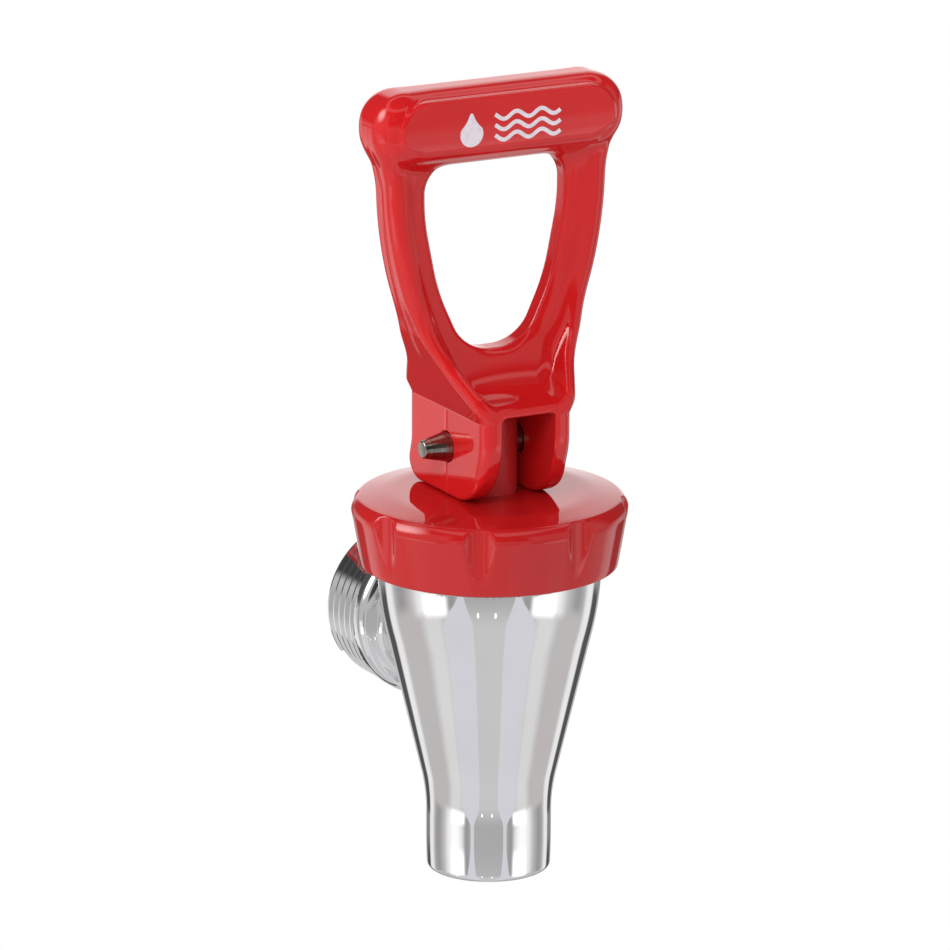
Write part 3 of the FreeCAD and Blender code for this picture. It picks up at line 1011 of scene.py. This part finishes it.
for soft in softPieces:
    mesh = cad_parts[soft["node"]].data.copy()
    merged = bmesh.new()
    merged.from_mesh(mesh)
    bmesh.ops.remove_doubles(merged, verts=merged.verts, dist=0.001 * mm)
    merged.to_mesh(mesh)
    merged.free()
    mesh.materials.clear()
    mesh.materials.append(soft["look"])
    piece = bpy.data.objects.new(soft["name"], mesh)
    bpy.context.collection.objects.link(piece)
    smoothUnder(piece, 35)
    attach(piece, "tap")
    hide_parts(soft["node"])
    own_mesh(piece)


sign = {
    "dropHeight": 5.4,
    "dropWidth": 3.9,
    "dropAcross": -6.6,
    "dropWaist": 0.22,
    "bowlTurn": (152, 388),
    "waveLength": 4.3,
    "waveRise": 0.5,
    "waveThick": 0.62,
    "waveRows": (1.6, 0.0, -1.6),
    "waveEnds": (-2.6, 8.6),
    "proud": 0.03,
    "sunk": 0.1,
}


def dropLoop():
    # Round bowl below, with two slightly hollow sides up to the tip.
    middle = sign["dropAcross"]
    bowl = sign["dropWidth"] / 2
    low = barHeight - sign["dropHeight"] / 2 + bowl
    drop = []
    for turn in np.radians(np.linspace(*sign["bowlTurn"], 40)):
        drop.append((middle + bowl * math.cos(turn), low + bowl * math.sin(turn)))
    tip = (middle, barHeight + sign["dropHeight"] / 2)
    for start, end in ((drop[-1], tip), (tip, drop[0])):
        for part in np.linspace(0.1, 0.9, 8):
            pull = sign["dropWaist"] * math.sin(part * math.pi)
            across = start[0] + (end[0] - start[0]) * part
            drop.append((middle + (across - middle) * (1 - pull), start[1] + (end[1] - start[1]) * part))
    return drop


def waveLoop(row):
    along = np.linspace(*sign["waveEnds"], 61)
    turns = 2 * math.pi / sign["waveLength"]
    rise = barHeight + row + sign["waveRise"] * np.sin(along * turns)
    slope = sign["waveRise"] * turns * np.cos(along * turns)
    across = -slope / np.hypot(1, slope)
    upward = 1 / np.hypot(1, slope)
    half = sign["waveThick"] / 2
    upper = list(zip(along + across * half, rise + upward * half))
    lower = list(zip(along - across * half, rise - upward * half))
    return lower + upper[::-1]


def signMesh():
    # A water drop and three wavy lines, printed flat on the bar's front plate.
    points, faces = [], []
    for loop in [dropLoop()] + [waveLoop(row) for row in sign["waveRows"]]:
        start, size = len(points), len(loop)
        points += [(a, -plateFace(b) - sign["proud"], b) for a, b in loop]
        points += [(a, -plateFace(b) + sign["sunk"], b) for a, b in loop]
        faces.append([start + index for index in range(size)])
        faces.append([start + size + index for index in reversed(range(size))])
        for index in range(size):
            after = (index + 1) % size
            faces.append([start + index, start + size + index, start + size + after, start + after])
    return points, faces


points, faces = signMesh()
signPiece = meshObject("barSign", toFrame(points), faces, signInk)
fixNormals(signPiece)
smoothUnder(signPiece, 30)
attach(signPiece, "lever")
print("sign made")


view = {
    "azimuth": math.radians(-28.5),
    "pitch": math.radians(15.45),
    "roll": math.radians(0.2),
    "across": -2.241,
    "up": 13.301,
    "away": 1226.8,
    "lens": 303.16,
    "sensor": 36,
    "farClip": 50,
}


def addCamera():
    turn, pitch = view["azimuth"], view["pitch"]
    back = Vector((math.sin(turn) * math.cos(pitch), -math.cos(turn) * math.cos(pitch), math.sin(pitch)))
    level = Vector((math.cos(turn), math.sin(turn), 0))
    right = level * math.cos(view["roll"]) + back.cross(level) * math.sin(view["roll"])
    up = back.cross(right)
    place = right * view["across"] + up * view["up"] + back * view["away"]
    data = bpy.data.cameras.new("viewCamera")
    data.lens = view["lens"]
    data.sensor_width = view["sensor"]
    data.clip_end = view["farClip"]
    camera = bpy.data.objects.new("viewCamera", data)
    camera.matrix_world = Matrix((right, up, back)).transposed().to_4x4()
    camera.location = toFrame(place)
    bpy.context.scene.collection.objects.link(camera)
    bpy.context.scene.camera = camera


floorLook = {"level": -0.24, "half": 6.0, "colour": (0.86, 0.86, 0.86, 1.0)}


def addFloor():
    # White to the camera, and a pale paint that sends light back up at the spigot.
    half, level = floorLook["half"], floorLook["level"]
    corners = [(-half, -half, level), (half, -half, level), (half, half, level), (-half, half, level)]
    material = bpy.data.materials.new("paleFloor")
    tree = newTree(material)
    path = node(tree, "ShaderNodeLightPath")
    paint = node(tree, "ShaderNodeBsdfDiffuse", {"Color": floorLook["colour"]})
    white = node(tree, "ShaderNodeEmission", {"Color": (1, 1, 1, 1), "Strength": 1.0})
    mixed = node(tree, "ShaderNodeMixShader", {
        0: path.outputs["Is Camera Ray"], 1: paint.outputs[0], 2: white.outputs[0],
    })
    finishMaterial(tree, mixed)
    floor = meshObject("studioFloor", corners, [(0, 1, 2, 3)], material)
    floor.visible_glossy = False


# Gloss and chrome see this studio round them. Sides are degrees round from the camera, tilts are degrees
# above the level, and a pair is where something starts and ends, or fades. Below the level are the floor,
# panels and a pale sheet left and right of the camera, two small lamps and the wall's foot. Above it are
# a front light, the wall, the ceiling, a dark hood over the camera, a streak and a soft box.
studio = {
    "ambient": 0.76,
    "gloss": 1.0,
    "horizon": (-7.0, 2.0),
    "floorTone": (0.62, 0.6, 0.59),
    "panels": {
        "darkGap": {"sides": (34, 52), "edge": 6, "tilts": (-24, 2), "level": 0.4},
        "window": {"sides": (54, 85), "edge": 9, "tilts": (-26, -12), "level": 1.1},
        "lowScreen": {"sides": (52, 78), "edge": 8, "tilts": (-50, -26), "level": 0.85},
        "lensLight": {"sides": (46, 74), "edge": 4, "tilts": (-26, -18.5), "level": 1.6},
        "drape": {"sides": (98, 116), "edge": 8, "tilts": (-24, 2), "level": 0.4},
        "paleScreen": {"sides": (122, 140), "edge": 5, "tilts": (-34, 2), "level": 1.0},
        "lowPaleScreen": {"sides": (122, 140), "edge": 5, "tilts": (-90, -34), "level": 0.8},
        "darkStand": {"sides": (138, 158), "edge": 3, "tilts": (-90, -17.5), "level": 0.1},
        "farDarkStand": {"sides": (152, 168), "edge": 3, "tilts": (-17.5, 2), "level": 0.2},
    },
    "panelTiltEdge": 2.0,
    "sheet": {"colour": (0.8, 0.79, 0.84), "widens": (-32.0, -17.0), "outer": (33.0, 53.0),
              "inner": (27.0, 18.0), "middle": (0.5, 0.7), "edge": 0.8},
    "lamps": {"places": [(-12.2, -26.0), (6.5, -26.0)], "reach": (0.7, 1.3), "level": 3.0},
    "lowWall": {"sides": (168.0, 174.0), "tilts": (-19.0, -17.0)},
    "frontLight": {"sides": (100.0, 120.0), "level": 0.6},
    "wall": {"sides": (152.0, 164.0), "level": 1.4},
    "ceiling": {"tilts": (28.0, 45.0), "level": 0.1},
    "hood": {"sides": (30.0, 38.0), "tilts": (8, 48), "edge": 4.0, "level": 0.06},
    "streak": {"tilts": (50, 60), "edge": 3.0, "level": 1.1},
    "softBox": {"side": -82, "tilt": 31, "reach": (4.0, 24.0), "level": 8.0},
}


def fade(tree, value, ends):
    return remap(tree, value, *ends, 0.0, 1.0)


def fadeOut(tree, value, ends):
    return remap(tree, value, *ends, 1.0, 0.0)


def within(tree, value, ends, edge):
    low, high = ends
    return times(tree, fade(tree, value, (low - edge, low + edge)),
                 fadeOut(tree, value, (high - edge, high + edge)))


def distance(tree, side, tilt, atSide, atTilt, squeeze=1.0):
    across = times(tree, minus(tree, side, atSide), squeeze)
    over = minus(tree, tilt, atTilt)
    return maths(tree, "SQRT", plus(tree, times(tree, across, across), times(tree, over, over)))


def lowerStudio(tree, side, away, tilt):
    shade = studio["floorTone"]
    for panel in studio["panels"].values():
        weight = times(tree, within(tree, away, panel["sides"], panel["edge"]),
                       within(tree, tilt, panel["tilts"], studio["panelTiltEdge"]))
        shade = mixColour(tree, weight, shade, panel["level"])
    # A pale sheet either side of the camera, which widens towards the floor
    sheet = studio["sheet"]
    edge = (-sheet["edge"], sheet["edge"])
    spread = fadeOut(tree, tilt, sheet["widens"])
    outer = remap(tree, spread, 0.0, 1.0, *sheet["outer"], smooth=False)
    inner = remap(tree, spread, 0.0, 1.0, *sheet["inner"], smooth=False)
    shade = mixColour(tree, fadeOut(tree, minus(tree, away, outer), edge), shade, sheet["colour"])
    centre = mixColour(tree, spread, *sheet["middle"])
    shade = mixColour(tree, fadeOut(tree, minus(tree, away, inner), edge), shade, centre)
    lamps = studio["lamps"]
    for place in lamps["places"]:
        near = fadeOut(tree, distance(tree, side, tilt, *place), lamps["reach"])
        shade = mixColour(tree, near, shade, lamps["level"])
    low = studio["lowWall"]
    behind = times(tree, fade(tree, away, low["sides"]), fade(tree, tilt, low["tilts"]))
    return mixColour(tree, behind, shade, studio["wall"]["level"])


def upperStudio(tree, side, away, tilt):
    front, wall, ceiling = studio["frontLight"], studio["wall"], studio["ceiling"]
    shade = mixColour(tree, fade(tree, away, front["sides"]), front["level"], ceiling["level"])
    shade = mixColour(tree, fade(tree, away, wall["sides"]), shade, wall["level"])
    shade = mixColour(tree, fade(tree, tilt, ceiling["tilts"]), shade, ceiling["level"])
    hood = studio["hood"]
    over = times(tree, fadeOut(tree, away, hood["sides"]), within(tree, tilt, hood["tilts"], hood["edge"]))
    shade = mixColour(tree, over, shade, hood["level"])
    streak = studio["streak"]
    band = within(tree, tilt, streak["tilts"], streak["edge"])
    shade = mixColour(tree, band, shade, streak["level"])
    box = studio["softBox"]
    squeeze = math.cos(math.radians(box["tilt"]))
    near = fadeOut(tree, distance(tree, side, tilt, box["side"], box["tilt"], squeeze), box["reach"])
    return mixColour(tree, near, shade, box["level"])


def reflectedStudio(tree):
    direction = node(tree, "ShaderNodeTexCoord").outputs["Generated"]
    place = node(tree, "ShaderNodeSeparateXYZ", {"Vector": direction})
    turn = maths(tree, "ARCTAN2", place.outputs["X"], times(tree, place.outputs["Y"], -1.0))
    turn = times(tree, turn, 180 / math.pi)
    tilt = times(tree, maths(tree, "ARCSINE", place.outputs["Z"]), 180 / math.pi)
    # Side is 0 in front of the camera and grows to its right
    side = maths(tree, "WRAP", minus(tree, turn, math.degrees(view["azimuth"])), 180.0, -180.0)
    away = maths(tree, "ABSOLUTE", side)
    lower = lowerStudio(tree, side, away, tilt)
    upper = upperStudio(tree, side, away, tilt)
    return mixColour(tree, fade(tree, tilt, studio["horizon"]), lower, upper)


def addWorld():
    # Plain light for the object, the studio for its gloss, and white for the camera.
    world = bpy.data.worlds.new("softStudio")
    bpy.context.scene.world = world
    tree = newTree(world)
    path = node(tree, "ShaderNodeLightPath")
    plain = node(tree, "ShaderNodeBackground", {"Color": (1, 1, 1, 1), "Strength": studio["ambient"]})
    gloss = node(tree, "ShaderNodeBackground", {"Color": reflectedStudio(tree), "Strength": studio["gloss"]})
    white = node(tree, "ShaderNodeBackground", {"Color": (1, 1, 1, 1), "Strength": 1.0})
    lit = node(tree, "ShaderNodeMixShader", {
        0: path.outputs["Is Glossy Ray"], 1: plain.outputs[0], 2: gloss.outputs[0],
    })
    seen = node(tree, "ShaderNodeMixShader", {
        0: path.outputs["Is Camera Ray"], 1: lit.outputs[0], 2: white.outputs[0],
    })
    output = node(tree, "ShaderNodeOutputWorld")
    tree.links.new(seen.outputs[0], output.inputs["Surface"])


lampTarget = (0, -0.025, 0.03)
areaLamps = {
    "keyLamp": {"place": (-0.75, -0.8, 0.9), "size": 0.5, "power": 5.5},
    "sideLamp": {"place": (-1.2, 0.05, 0.25), "size": 0.5, "power": 4.0},
}


def addLamp(name, look):
    data = bpy.data.lights.new(name, "AREA")
    data.shape = "DISK"
    data.size = look["size"]
    data.energy = look["power"]
    lamp = bpy.data.objects.new(name, data)
    lamp.location = look["place"]
    towards = Vector(lampTarget) - Vector(look["place"])
    lamp.rotation_euler = towards.to_track_quat("-Z", "Y").to_euler()
    bpy.context.scene.collection.objects.link(lamp)
    lamp.visible_glossy = False


bpy.context.scene.view_settings.view_transform = "Standard"
addCamera()
addFloor()
addWorld()
for name, look in areaLamps.items():
    addLamp(name, look)
print("camera, floor, world and lamps set")
